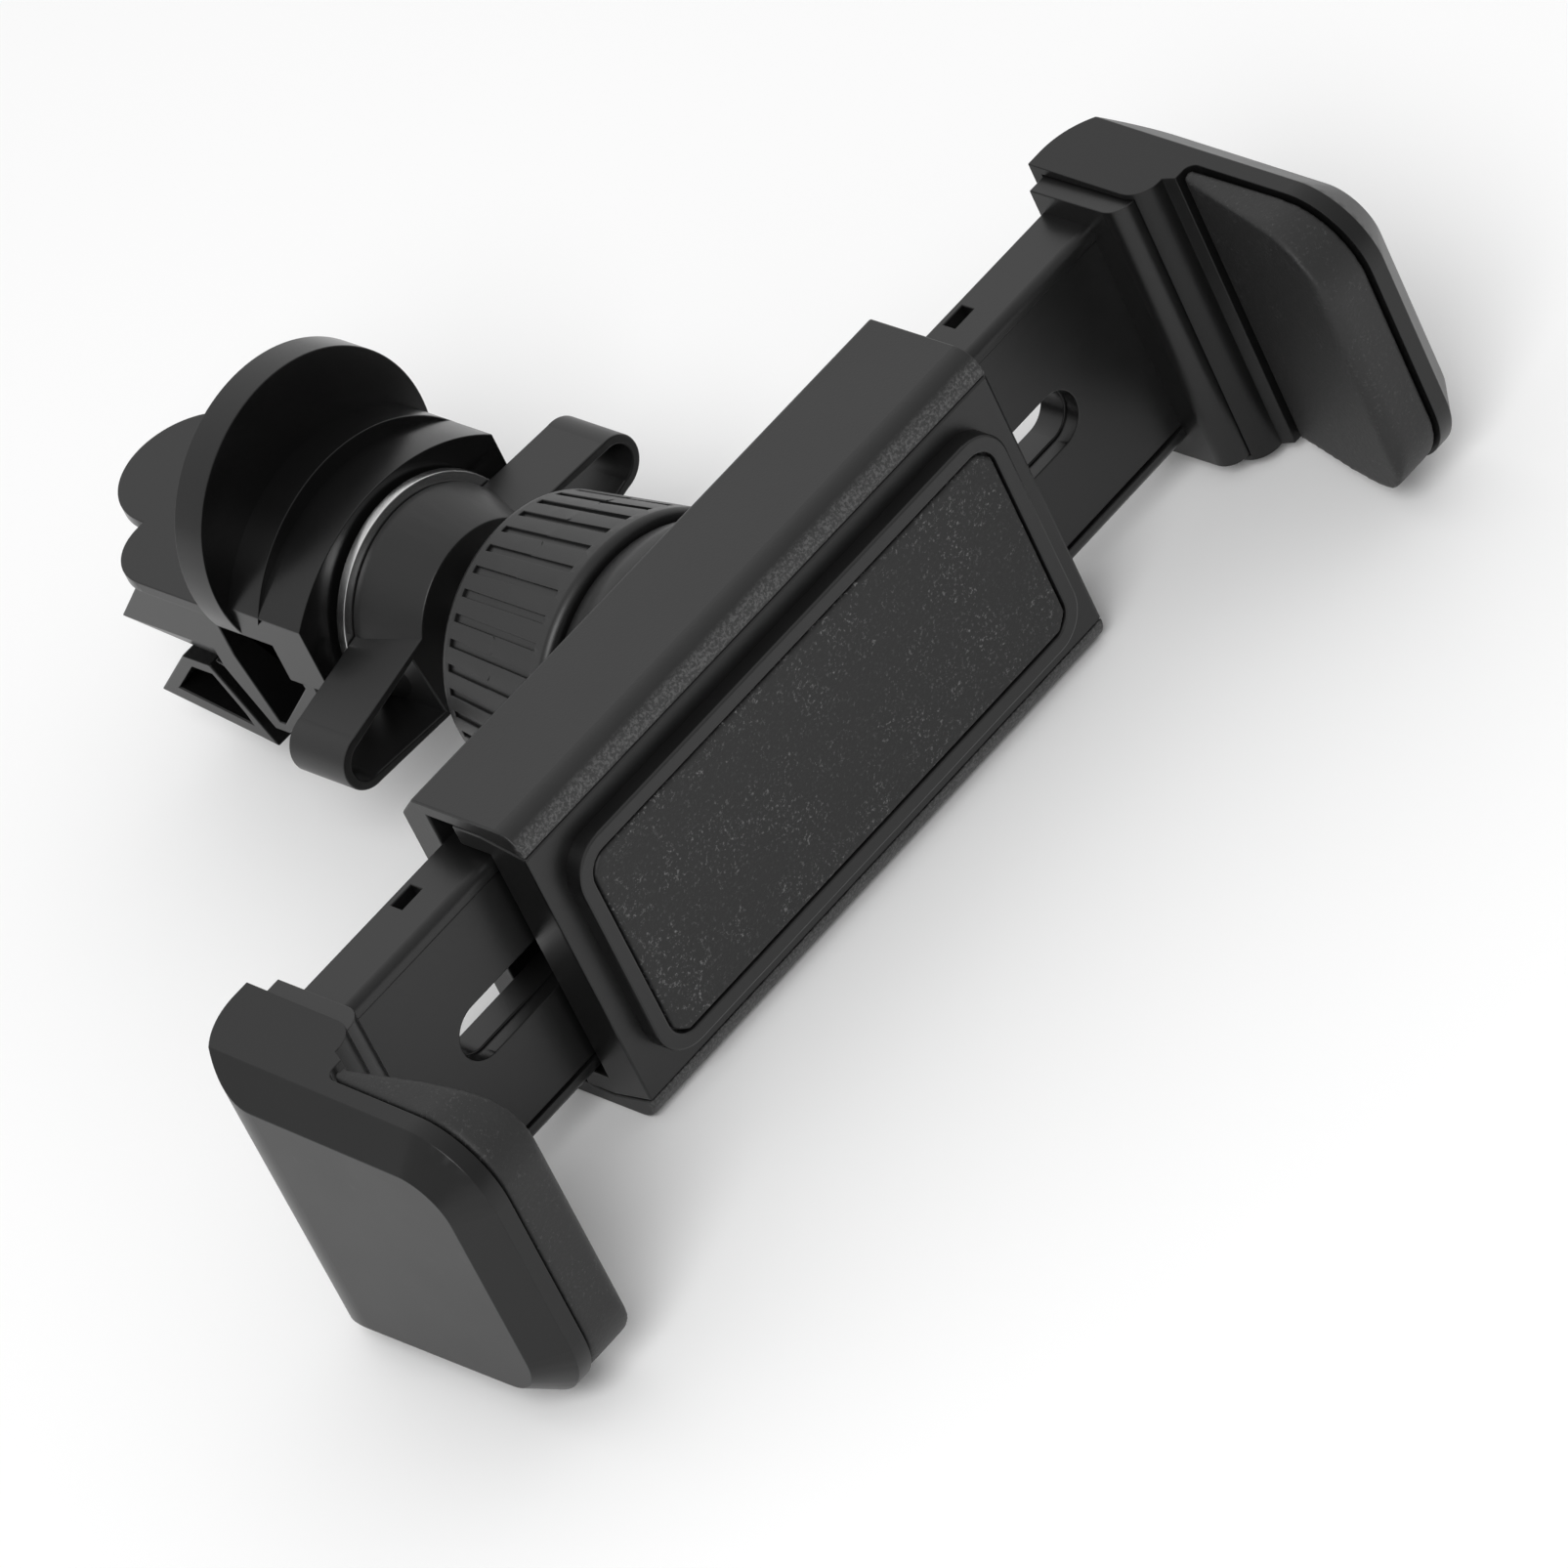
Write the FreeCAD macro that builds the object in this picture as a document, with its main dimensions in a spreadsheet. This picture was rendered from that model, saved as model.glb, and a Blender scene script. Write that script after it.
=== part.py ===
import FreeCAD, Part
import math
import os
import re

import Sketcher

# Air vent phone mount: a cradle with two geared slide arms, a ball joint with a
# knurled lock ring, and a vent clip that a wing nut closes.
# Millimetres, +Z up. The cradle stands on its lower face, the phone faces -Y,
# the arms slide along X and the clip points to +Y.

DOC = FreeCAD.newDocument("VentMount")
SHEET = DOC.addObject("Spreadsheet::Sheet", "Dims")

# Driving dimensions. Depths of the cradle are measured from its front face,
# and places along the ball axis are measured from the ball's centre.
SIZES = [
    # cradle housing
    ("housing_width", 60.0), ("housing_depth", 14.6), ("housing_height", 33.6),
    ("front_round", 2.5), ("rear_chamfer", 2.2), ("shell_wall", 1.4), ("rear_wall", 3.5),
    ("lip_depth", 5.0), ("seam_gap", 0.1),
    ("cover_depth", 4.8), ("cover_flange_reach", 8.3), ("channel_height", 26.3),
    ("frame_rise", 1.7), ("frame_rim", 1.55), ("front_pad_width", 52.2), ("front_pad_height", 21.0),
    ("front_pad_corner", 2.2), ("front_pad_depth", 0.9), ("front_pad_gap", 0.15),
    ("cover_screw_spread", 42.0), ("cover_screw_radius", 1.2), ("cover_head_radius", 2.3),
    ("cover_head_height", 1.5), ("cover_screw_bite", 3.4), ("screw_boss_wall", 0.9), ("screw_gap", 0.06),
    # rack and pinion
    ("gear_module", 0.6), ("gear_teeth", 16), ("gear_addendum", 0.5), ("gear_dedendum", 0.7),
    ("gear_backlash", 0.3), ("post_radius", 2.0), ("post_gap", 0.05), ("detent_thickness", 0.5),
    ("detent_width", 2.4), ("detent_gap", 0.3), ("detent_length", 11.0),
    # slide arms
    ("arm_height", 24.8), ("arm_gap", 0.3), ("arm_web", 2.6), ("arm_flange", 1.5), ("arm_step", 0.25), ("arm_groove", 0.18),
    ("arm_lip", 1.4), ("arm_round", 0.9), ("arm_length", 30.7), ("arm_reach", 19.0),
    ("arm_travel", 17.0), ("slot_height", 5.35), ("slot_margin", 8.6),
    ("slot_rim", 1.0), ("slot_rim_depth", 2.0), ("slot_rim_length", 16.0), ("slot_ledge", 0.22),
    ("window_margin", 14.2), ("window_length", 2.5), ("window_width", 1.4), ("window_edge", 0.6),
    ("rack_leg_height", 4.7), ("rack_root", 5.8), ("rack_overrun", 2.6), ("rack_blend", 5.0),
    ("collar_front", 0.9), ("collar_rear", 11.3), ("collar_height", 29.6), ("collar_length", 4.6),
    ("collar_round", 1.9),
    # jaws
    ("jaw_standoff", 1.9), ("jaw_base", 5.3), ("jaw_plate", 4.3), ("jaw_rear", 12.7), ("jaw_front", -0.5),
    ("jaw_tip", -19.4), ("jaw_height", 32.4), ("jaw_tip_height", 30.2), ("jaw_tip_round", 7.0),
    ("jaw_rear_round", 8.0), ("jaw_bevel", 2.7),
    ("jaw_corner_round", 2.4), ("jaw_fit", 0.1), ("jaw_lip_depth", 2.8), ("jaw_lip_slope", 0.5),
    ("jaw_pad_shift", 0.1), ("jaw_pad_start", -1.9), ("jaw_pad_nose", 1.5), ("jaw_pad_gap", 0.25),
    ("jaw_pad_round", 1.2), ("jaw_pad_inset", 0.25), ("jaw_pad_slope", 1.6), ("jaw_pad_edge", 1.2),
    ("jaw_screw_inset", 1.4), ("jaw_screw_spread", 16.0), ("jaw_screw_radius", 0.7), ("jaw_head_radius", 1.2),
    ("jaw_head_height", 0.6), ("jaw_screw_bite", 5.0),
    # ball joint
    ("axis_rise", 1.4), ("ball_reach", 10.4), ("ball_radius", 8.0), ("ball_gap", 0.3),
    ("boss_base_radius", 14.4), ("boss_top_radius", 13.1), ("neck_radius", 10.3), ("neck_end", 1.2),
    ("ring_front", -7.1), ("ring_rear", 7.2), ("ring_front_radius", 14.0), ("ring_rear_radius", 12.5),
    ("ring_edge", 0.9), ("ring_gap", 0.3), ("ring_mouth_radius", 8.2), ("ring_lip", 1.5),
    ("groove_count", 36), ("groove_width", 0.65), ("groove_depth", 0.3), ("groove_front", 1.9),
    ("groove_rear", 1.3), ("friction_ring_front", 1.8),
    ("stud_neck_radius", 4.2), ("stud_neck_end", 13.5), ("stud_radius", 3.9), ("stud_end", 31.0),
    ("stud_fit", 0.06),
    # wing nut and washer
    ("wing_front", 14.0), ("wing_rear", 21.0), ("wing_hub_radius", 8.2), ("wing_hub_foot", 9.7),
    ("wing_span", 40.2),
    ("wing_tip_radius", 2.8), ("wing_root_height", 8.4), ("wing_wall", 0.9), ("wing_bore_gap", 0.3),
    ("wing_rest_angle", -4.5), ("washer_gap", 0.1), ("washer_thickness", 1.0), ("washer_radius", 10.6),
    ("washer_hole_gap", 0.4),
    # clip
    ("clip_front", 22.7), ("clip_width", 24.0), ("arch_half", 12.8), ("arch_base", 3.1),
    ("arch_side", 6.4), ("arch_foot", -1.0),
    ("arch_low_top", 11.6), ("arch_high_top", 13.3), ("arch_step", 27.9),
    ("disc_front", 31.7), ("disc_rear", 35.2), ("disc_radius", 13.5), ("disc_centre", 7.5),
    ("plate_top", 5.6), ("plate_half", 13.0), ("plate_rear", 49.0), ("plate_round", 5.2),
    ("tab_half", 7.0), ("tab_centre", 49.4),
    ("block_front", 26.4), ("block_top", 4.4), ("block_front_drop", -3.1), ("leg_front", 34.2),
    ("leg_rear", 36.0), ("leg_bottom", -10.4), ("prong_root", 39.0), ("prong_root_drop", -3.9),
    ("prong_flat", 41.2), ("prong_under", -3.2), ("prong_end", 51.0), ("prong_top_end", 45.3),
    ("prong_edge", 1.5), ("prong_draft", 0.6),
    ("tongue_width", 7.8), ("tongue_gap", 0.3), ("tongue_roof", -4.9),
    ("pin_place", 34.0), ("pin_drop", -7.2), ("pin_radius", 1.0), ("pin_gap", 0.05), ("pin_boss_radius", 2.0),
    ("pin_length", 16.0), ("clip_rim", 1.2), ("clip_recess", 3.5), ("recess_rear", 36.4),
    ("lower_top", -4.6), ("lower_top_front", 41.3), ("lower_top_rear", 44.9), ("lower_end", 51.1),
    ("lower_end_drop", -10.8), ("lower_heel", 37.0), ("lower_heel_drop", -13.0), ("lower_throat", 38.9),
    ("lower_throat_drop", -9.2), ("lower_sole", 39.1), ("lower_sole_drop", -12.6),
    ("tail_gap", 0.3), ("tail_top", -8.3), ("tail_bottom", -10.4), ("tail_root", 31.0),
    ("jaw_spring_thickness", 0.5), ("jaw_spring_width", 4.0),
]
NAMES = [name for name, _ in SIZES]
for row, (name, value) in enumerate(SIZES, start=1):
    SHEET.set("A%d" % row, name)
    SHEET.set("B%d" % row, str(value))
    SHEET.setAlias("B%d" % row, name)
DOC.recompute()

# places along the arms that follow from the sizes above
DERIVED = {
    "arm_outer_end": "(housing_width/2 + arm_reach)",
    "arm_inner_end": "(arm_outer_end - arm_length)",
    "slot_end": "(arm_outer_end - slot_margin)",
    "window_place": "(arm_outer_end - window_margin)",
    "collar_end": "(arm_outer_end + collar_length)",
    "jaw_inner": "(arm_outer_end + jaw_standoff)",
    "jaw_seam": "(jaw_inner + jaw_base)",
    "jaw_outer": "(jaw_seam + jaw_plate)",
    "jaw_lip_start": "(jaw_inner + jaw_lip_depth)",
    "jaw_pad_inner": "(jaw_inner + jaw_pad_shift)",
    "jaw_screw_place": "(jaw_inner + jaw_screw_inset)",
}

PARTS = []


def linked(text):
    # an expression in plain size names, with each name tied to its cell
    while any(word in DERIVED for word in re.findall(r"[a-z_]+", text)):
        text = re.sub(r"[a-z_]+", lambda m: DERIVED.get(m.group(), m.group()), text)
    return re.sub(r"[a-z_]+", lambda m: "Dims." + m.group() if m.group() in NAMES else m.group(), text)


def value(text):
    return float(SHEET.evalExpression(linked(text)))


def bind(thing, prop, text):
    thing.setExpression(prop, linked(text))


# frames: the cradle's front face at mid height, or the ball's centre
CRADLE = ("0", "-housing_depth/2", "housing_height/2")
AXIS = ("0", "housing_depth/2 + ball_reach", "housing_height/2 + axis_rise")


def place(thing, frame, turn=0.0):
    # turn is an angle about Y, in degrees
    thing.Placement = FreeCAD.Placement(FreeCAD.Vector(), FreeCAD.Rotation(FreeCAD.Vector(0, 1, 0), turn))
    for axis, text in zip("xyz", frame):
        bind(thing, "Placement.Base." + axis, text)


def new_body(label, frame, turn=0.0):
    body = DOC.addObject("PartDesign::Body", label)
    body.Label = label
    place(body, frame, turn)
    PARTS.append(body)
    return body


def plane_of(body, role):
    return [f for f in body.Origin.OriginFeatures if f.Role == role][0]


def arc_between(start, end, radius, side):
    # the short arc from start to end; side 1 turns to the left, -1 to the right
    chord = end - start
    rise = math.sqrt(max(radius ** 2 - (chord.Length / 2) ** 2, 0.0))
    left = FreeCAD.Vector(-chord.y, chord.x, 0) / chord.Length
    centre = (start + end) / 2 + left * rise * side
    first, last = (start, end) if side > 0 else (end, start)
    angles = [math.atan2(p.y - centre.y, p.x - centre.x) for p in (first, last)]
    return Part.ArcOfCircle(Part.Circle(centre, FreeCAD.Vector(0, 0, 1), radius), angles[0], angles[1])


def pin_point(sketch, geo, pos, texts):
    # ties a point of the sketch to its two expressions
    for kind, text, axis in (("DistanceX", texts[0], -2), ("DistanceY", texts[1], -1)):
        if text == "0":
            sketch.addConstraint(Sketcher.Constraint("PointOnObject", geo, pos, axis))
            continue
        index = sketch.addConstraint(Sketcher.Constraint(kind, -1, 1, geo, pos, value(text)))
        bind(sketch, "Constraints[%d]" % index, text)


def add_loop(sketch, corners):
    # corners are (x, y), or (x, y, radius, side) where an arc leads to the next one
    points = [FreeCAD.Vector(value(c[0]), value(c[1]), 0) for c in corners]
    ends = []
    for i, corner in enumerate(corners):
        start, end = points[i], points[(i + 1) % len(points)]
        if len(corner) == 2:
            ends.append((sketch.addGeometry(Part.LineSegment(start, end)), 1, 2))
            continue
        arc = sketch.addGeometry(arc_between(start, end, value(corner[2]), corner[3]))
        ends.append((arc, 1, 2) if corner[3] > 0 else (arc, 2, 1))
    for i, corner in enumerate(corners):
        geo, first, last = ends[i]
        following, its_first, _ = ends[(i + 1) % len(ends)]
        sketch.addConstraint(Sketcher.Constraint("Coincident", geo, last, following, its_first))
    for i, corner in enumerate(corners):
        pin_point(sketch, ends[i][0], ends[i][1], corner)
        if len(corner) == 2:
            continue
        if abs((points[i] - points[(i + 1) % len(points)]).Length - 2 * value(corner[2])) < 1e-6:
            # a half circle on an upright chord: its centre stands level with the ends
            sketch.addConstraint(Sketcher.Constraint("Vertical", ends[i][0], 3, ends[i][0], 1))
            continue
        index = sketch.addConstraint(Sketcher.Constraint("Radius", ends[i][0], value(corner[2])))
        bind(sketch, "Constraints[%d]" % index, corner[2])


def add_circle(sketch, centre, radius):
    spot = FreeCAD.Vector(value(centre[0]), value(centre[1]), 0)
    geo = sketch.addGeometry(Part.Circle(spot, FreeCAD.Vector(0, 0, 1), value(radius)))
    pin_point(sketch, geo, 3, centre)
    index = sketch.addConstraint(Sketcher.Constraint("Radius", geo, value(radius)))
    bind(sketch, "Constraints[%d]" % index, radius)


def new_sketch(body, role, start, loops=(), circles=()):
    # start is the distance of the sketch along its plane's normal
    sketch = body.newObject("Sketcher::SketchObject", "Sketch")
    sketch.AttachmentSupport = [(plane_of(body, role), "")]
    sketch.MapMode = "FlatFace"
    bind(sketch, "AttachmentOffset.Base.z", start)
    for loop in loops:
        add_loop(sketch, loop)
    for centre, radius in circles:
        add_circle(sketch, centre, radius)
    return sketch


def span(role, low, high):
    # where a sketch stands so that its feature fills low to high along the plane's axis
    return low if role != "XZ_Plane" else "-(%s)" % high


def pad(body, role, low, high, loops=(), circles=()):
    feature = body.newObject("PartDesign::Pad", "Pad")
    feature.Profile = new_sketch(body, role, span(role, low, high), loops, circles)
    bind(feature, "Length", "(%s) - (%s)" % (high, low))
    return feature


def pocket(body, role, low, high, loops=(), circles=()):
    feature = body.newObject("PartDesign::Pocket", "Pocket")
    feature.Profile = new_sketch(body, role, span(role, low, high), loops, circles)
    feature.Reversed = True
    bind(feature, "Length", "(%s) - (%s)" % (high, low))
    return feature


def revolve(body, loop, kind="Revolution"):
    # the loop is (radius, place along Y)
    feature = body.newObject("PartDesign::" + kind, kind)
    sketch = new_sketch(body, "XY_Plane", "0 * seam_gap", [loop])
    feature.Profile = sketch
    feature.ReferenceAxis = (sketch, ["V_Axis"])
    feature.Angle = 360
    return feature


def box_loop(left, right, low, high):
    return [(left, low), (right, low), (right, high), (left, high)]


def round_box_loop(half_width, half_height, radius):
    a, b, r = "(%s)" % half_width, "(%s)" % half_height, "(%s)" % radius
    return [
        ("-%s + %s" % (a, r), "-" + b), ("%s - %s" % (a, r), "-" + b, r, 1),
        (a, "-%s + %s" % (b, r)), (a, "%s - %s" % (b, r), r, 1),
        ("%s - %s" % (a, r), b), ("-%s + %s" % (a, r), b, r, 1),
        ("-" + a, "%s - %s" % (b, r)), ("-" + a, "-%s + %s" % (b, r), r, 1),
    ]


# cradle housing

def make_rear_shell():
    frame = ("0", "-housing_depth/2", "housing_height/2 + axis_rise")
    body = new_body("rear_shell", frame)
    top, bottom = "housing_height/2 - axis_rise", "-housing_height/2 - axis_rise"
    inside = "housing_depth - rear_wall"
    pad(body, "YZ_Plane", "-housing_width/2", "housing_width/2", [[
        ("housing_depth - rear_chamfer", bottom), ("housing_depth", bottom + " + rear_chamfer"),
        ("housing_depth", top + " - rear_chamfer"), ("housing_depth - rear_chamfer", top),
        ("front_round", top, "front_round", 1), ("0", top + " - front_round"),
        ("lip_depth", top + " - shell_wall"), (inside, top + " - shell_wall"),
        (inside, bottom + " + shell_wall"), ("lip_depth", bottom + " + shell_wall"),
        ("0", bottom + " + front_round", "front_round", 1), ("front_round", bottom)]])
    # ball socket with its cone and threaded neck
    ball = "housing_depth + ball_reach"
    mouth = "sqrt((ball_radius + ball_gap)^2 - neck_end^2)"
    step = ball + " + ring_front - ring_gap"
    back = ball + " - ball_radius - ball_gap"
    revolve(body, [
        ("0", "housing_depth - rear_wall/2"), ("boss_base_radius", "housing_depth - rear_wall/2"),
        ("boss_base_radius", "housing_depth"), ("boss_top_radius", step), ("neck_radius", step),
        ("neck_radius", ball + " + neck_end"), (mouth, ball + " + neck_end", "ball_radius + ball_gap", -1),
        ("0", back)])
    # pinion post and screw bosses stand on the rear wall
    spread = "cover_screw_spread/2"
    boss = "cover_screw_radius + screw_gap + screw_boss_wall"
    pad(body, "XZ_Plane", "cover_depth", inside + " + rear_wall/2",
        circles=[(("0", "-axis_rise"), "post_radius")])
    for side in ("", "-"):
        hole = (side + spread, "-axis_rise")
        pad(body, "XZ_Plane", "cover_depth", inside + " + rear_wall/2", circles=[(hole, boss)])
        pocket(body, "XZ_Plane", "cover_depth", "housing_depth",
               circles=[(hole, "cover_screw_radius + screw_gap")])
        pocket(body, "XZ_Plane", "housing_depth - cover_head_height", "housing_depth",
               circles=[(hole, "cover_head_radius + screw_gap")])


def make_front_cover():
    body = new_body("front_cover", CRADLE)
    face = "(housing_height/2 - front_round - seam_gap)"
    inner = "(housing_height/2 - shell_wall - seam_gap)"
    # its edges slope under the shell's lips
    pad(body, "YZ_Plane", "-housing_width/2", "housing_width/2", [[
        ("0", "-" + face), ("lip_depth", "-" + inner), ("cover_flange_reach", "-" + inner),
        ("cover_flange_reach", "-channel_height/2"), ("cover_depth", "-channel_height/2"),
        ("cover_depth", "channel_height/2"), ("cover_flange_reach", "channel_height/2"),
        ("cover_flange_reach", inner), ("lip_depth", inner), ("0", face)]])
    pad(body, "XZ_Plane", "-frame_rise", "cover_depth/4", [round_box_loop(
        "front_pad_width/2 + frame_rim", "front_pad_height/2 + frame_rim", "front_pad_corner + frame_rim")])
    pocket(body, "XZ_Plane", "-frame_rise", "front_pad_depth - frame_rise", [round_box_loop(
        "front_pad_width/2", "front_pad_height/2", "front_pad_corner")])
    for side in ("", "-"):
        pocket(body, "XZ_Plane", "cover_depth - cover_screw_bite", "cover_depth",
               circles=[((side + "cover_screw_spread/2", "0"), "cover_screw_radius + screw_gap")])


def make_front_pad():
    body = new_body("front_pad", CRADLE)
    pad(body, "XZ_Plane", "-frame_rise", "front_pad_depth - frame_rise", [round_box_loop(
        "front_pad_width/2 - front_pad_gap", "front_pad_height/2 - front_pad_gap",
        "front_pad_corner - front_pad_gap")])


def make_screw(label, frame, spot, head, shank):
    # head and shank are (low, high, radius) along Y
    body = DOC.addObject("PartDesign::Body", label)
    place(body, *frame)
    for low, high, radius in (head, shank):
        pad(body, "XZ_Plane", low, high, circles=[(spot, radius)])
    return body


def make_screws(label, frame, spots, head, shank):
    # like screws are one sub-part of separate solids
    screws = [make_screw(label + "_one", frame, spot, head, shank) for spot in spots]
    DOC.recompute()
    group = DOC.addObject("Part::Compound", label)
    group.Links = screws
    group.Label = label
    PARTS.append(group)


def make_cover_screws():
    seat = "housing_depth - cover_head_height"
    make_screws("cover_screws", (CRADLE,), [("cover_screw_spread/2", "0"), ("-cover_screw_spread/2", "0")],
                (seat, "housing_depth", "cover_head_radius"),
                ("cover_depth - cover_screw_bite + screw_gap", seat, "cover_screw_radius"))


# rack and pinion

GEAR_LOW = "cover_depth + 2 * arm_gap + arm_web"
GEAR_HIGH = "housing_depth - rear_wall - arm_gap"
PRESSURE = math.radians(20)


def involute(angle):
    return math.tan(angle) - angle


def make_pinion():
    pitch = value("gear_module * gear_teeth / 2")
    count = int(value("gear_teeth"))
    tip = pitch + value("gear_addendum")
    root = pitch - value("gear_dedendum")
    base = pitch * math.cos(PRESSURE)
    thickness = math.pi * value("gear_module") / 2 - value("gear_backlash") / 2
    low_flank = max(base, root)
    radii = [root] + [low_flank + (tip - low_flank) * k / 3 for k in range(4)]

    def half_angle(radius):
        roll = math.acos(min(base / radius, 1.0))
        return thickness / 2 / pitch + involute(PRESSURE) - involute(roll)

    flank = [(r, half_angle(max(r, low_flank))) for r in radii]
    tooth = [(r, -a) for r, a in flank] + [(r, a) for r, a in reversed(flank)]
    points = []
    for k in range(count):
        middle = math.pi / 2 - 2 * math.pi * k / count
        points += [FreeCAD.Vector(r * math.cos(middle - a), 0, r * math.sin(middle - a)) for r, a in tooth]
    low, high = value(GEAR_LOW), value(GEAR_HIGH)
    wheel = Part.Face(Part.makePolygon(points + points[:1])).extrude(FreeCAD.Vector(0, high - low, 0))
    bore = Part.makeCylinder(value("post_radius + post_gap"), high - low, FreeCAD.Vector(),
                             FreeCAD.Vector(0, 1, 0))
    gear = DOC.addObject("Part::Feature", "pinion_gear")
    gear.Label = "pinion_gear"
    gear.Shape = wheel.cut(bore)
    place(gear, (CRADLE[0], CRADLE[1] + " + " + GEAR_LOW, CRADLE[2]))
    PARTS.append(gear)


def make_detent_spring():
    # a leaf on the rear wall beside the pinion, with a bent nose towards its teeth
    body = new_body("detent_spring", CRADLE)
    wall = "housing_depth - rear_wall"
    reach = "(gear_module * gear_teeth / 2 + gear_addendum + detent_gap)"
    far = reach + " + detent_length"
    half = "detent_width/2"
    pad(body, "XZ_Plane", wall + " - detent_thickness", wall,
        [box_loop(reach + " + detent_thickness", far, "-" + half, half)])
    pad(body, "XZ_Plane", GEAR_LOW + " + arm_gap", wall,
        [box_loop(reach, reach + " + detent_thickness", "-" + half, half)])


# slide arms

def make_arm(side, turn):
    body = new_body(side + "_arm", CRADLE, turn)
    front, rear = "(cover_depth + arm_gap)", "(housing_depth - rear_wall - arm_gap)"
    web = "%s + arm_web" % front
    half, inner = "arm_height/2", "(arm_height/2 - arm_flange)"
    lip = "(arm_height/2 - arm_lip)"
    recess = front + " + arm_step"
    groove, line = recess + " + arm_groove", "(%s - arm_groove)" % lip
    pad(body, "YZ_Plane", "arm_inner_end", "arm_outer_end + (collar_end - arm_outer_end)/2", [[
        (front + " + arm_round", "-" + half), (rear, "-" + half), (rear, "-" + inner), (web, "-" + inner),
        (web, inner), (rear, inner), (rear, half), (front + " + arm_round", half, "arm_round", 1),
        (front, half + " - arm_round"), (front, lip), (groove, lip), (groove, line), (recess, line),
        (recess, "-" + line), (groove, "-" + line), (groove, "-" + lip), (front, "-" + lip),
        (front, "-%s + arm_round" % half, "arm_round", 1)]])
    pad(body, "XY_Plane", "-collar_height/2", "collar_height/2", [[
        ("arm_outer_end + collar_round", "collar_front"), ("collar_end", "collar_front"),
        ("collar_end", "collar_rear"), ("arm_outer_end", "collar_rear"),
        ("arm_outer_end", "collar_front + collar_round", "collar_round", 1)]])
    # rack leg behind the web, carried by a block at the arm's inner end
    leg_top = "rack_root + rack_leg_height"
    tip = "gear_module * gear_teeth / 2 - gear_addendum"
    pad(body, "XZ_Plane", GEAR_LOW, rear,
        [box_loop("-rack_overrun", "arm_inner_end + rack_blend", tip, leg_top)])
    pad(body, "XZ_Plane", web + " - arm_web/2", rear,
        [box_loop("arm_inner_end", "arm_inner_end + rack_blend", "rack_root", inner + " + arm_flange/2")])
    pitch = "gear_module * pi"
    gap = "(gear_module * pi / 4 + gear_backlash/4)"
    slope = "tan(20)"
    mouth = "(%s + (gear_addendum + arm_gap) * %s)" % (gap, slope)
    floor = "(%s - gear_dedendum * %s)" % (gap, slope)
    start = "(-%s)" % pitch
    deep = "gear_module * gear_teeth / 2 + gear_dedendum"
    tooth = pocket(body, "XZ_Plane", GEAR_LOW, rear, [[
        ("%s - %s" % (start, mouth), tip + " - arm_gap"), ("%s + %s" % (start, mouth), tip + " - arm_gap"),
        ("%s + %s" % (start, floor), deep), ("%s - %s" % (start, floor), deep)]])
    row = body.newObject("PartDesign::LinearPattern", "RackGaps")
    row.Originals = [tooth]
    row.Direction = (tooth.Profile[0], ["H_Axis"])
    row.Occurrences = int(value("floor((arm_travel + rack_overrun) / (%s))" % pitch)) + 2
    row.Length = value(pitch) * (row.Occurrences - 1)
    body.Tip = row
    # windows in the flanges
    pocket(body, "XY_Plane", "-arm_height", "arm_height", [box_loop(
        "window_place", "window_place + window_length",
        rear + " - window_edge - window_width", rear + " - window_edge")])
    # long slot in the web, stepped, with a rim behind its outer end
    slot, ledge = "slot_height/2", "(slot_height/2 - slot_ledge)"
    rim, start = "(slot_height/2 + slot_rim)", "slot_end - slot_rim_length"
    pad(body, "XZ_Plane", web + " - arm_web/2", web + " + slot_rim_depth", [[
        (start, "-" + rim), ("slot_end - " + slot, "-" + rim, rim, 1), ("slot_end - " + slot, rim), (start, rim)]])
    pocket(body, "XZ_Plane", front, web + " + slot_rim_depth", [[
        ("arm_inner_end - slot_height", "-" + ledge), ("slot_end - " + slot, "-" + ledge, ledge, 1),
        ("slot_end - " + slot, ledge), ("arm_inner_end - slot_height", ledge)]])
    pocket(body, "XZ_Plane", front, front + " + 2/3 * arm_web", [[
        ("arm_inner_end - slot_height", "-" + slot), ("slot_end - " + slot, "-" + slot, slot, 1),
        ("slot_end - " + slot, slot), ("arm_inner_end - slot_height", slot)]])
    # holes for the jaw's screws
    for up in ("", "-"):
        pocket(body, "XZ_Plane", "collar_rear - jaw_screw_bite", "collar_rear",
               circles=[(("jaw_screw_place", up + "jaw_screw_spread/2"), "jaw_screw_radius + screw_gap")])


# jaws

def jaw_side_loop(inset):
    low = "(jaw_tip + %s)" % inset
    rear = "(jaw_rear + jaw_height/2)"
    base = "(jaw_height/2 - %s)" % inset
    end = "(jaw_tip_height/2 - %s)" % inset
    turn = "(jaw_tip_round - %s)" % inset
    return [
        (rear, "-" + base), (rear, base), ("%s + %s" % (low, turn), end, turn, 1),
        (low, "%s - %s" % (end, turn)), (low, "-%s + %s" % (end, turn), turn, 1),
        ("%s + %s" % (low, turn), "-" + end)]


def trim_to_side(body, inset, far):
    # takes away what lies outside the jaw's outline seen from its end
    frame = box_loop("jaw_tip - jaw_height", "jaw_rear + jaw_height", "-jaw_height", "jaw_height")
    return pocket(body, "YZ_Plane", "jaw_inner - jaw_height", far, [frame, jaw_side_loop(inset)])


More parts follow.
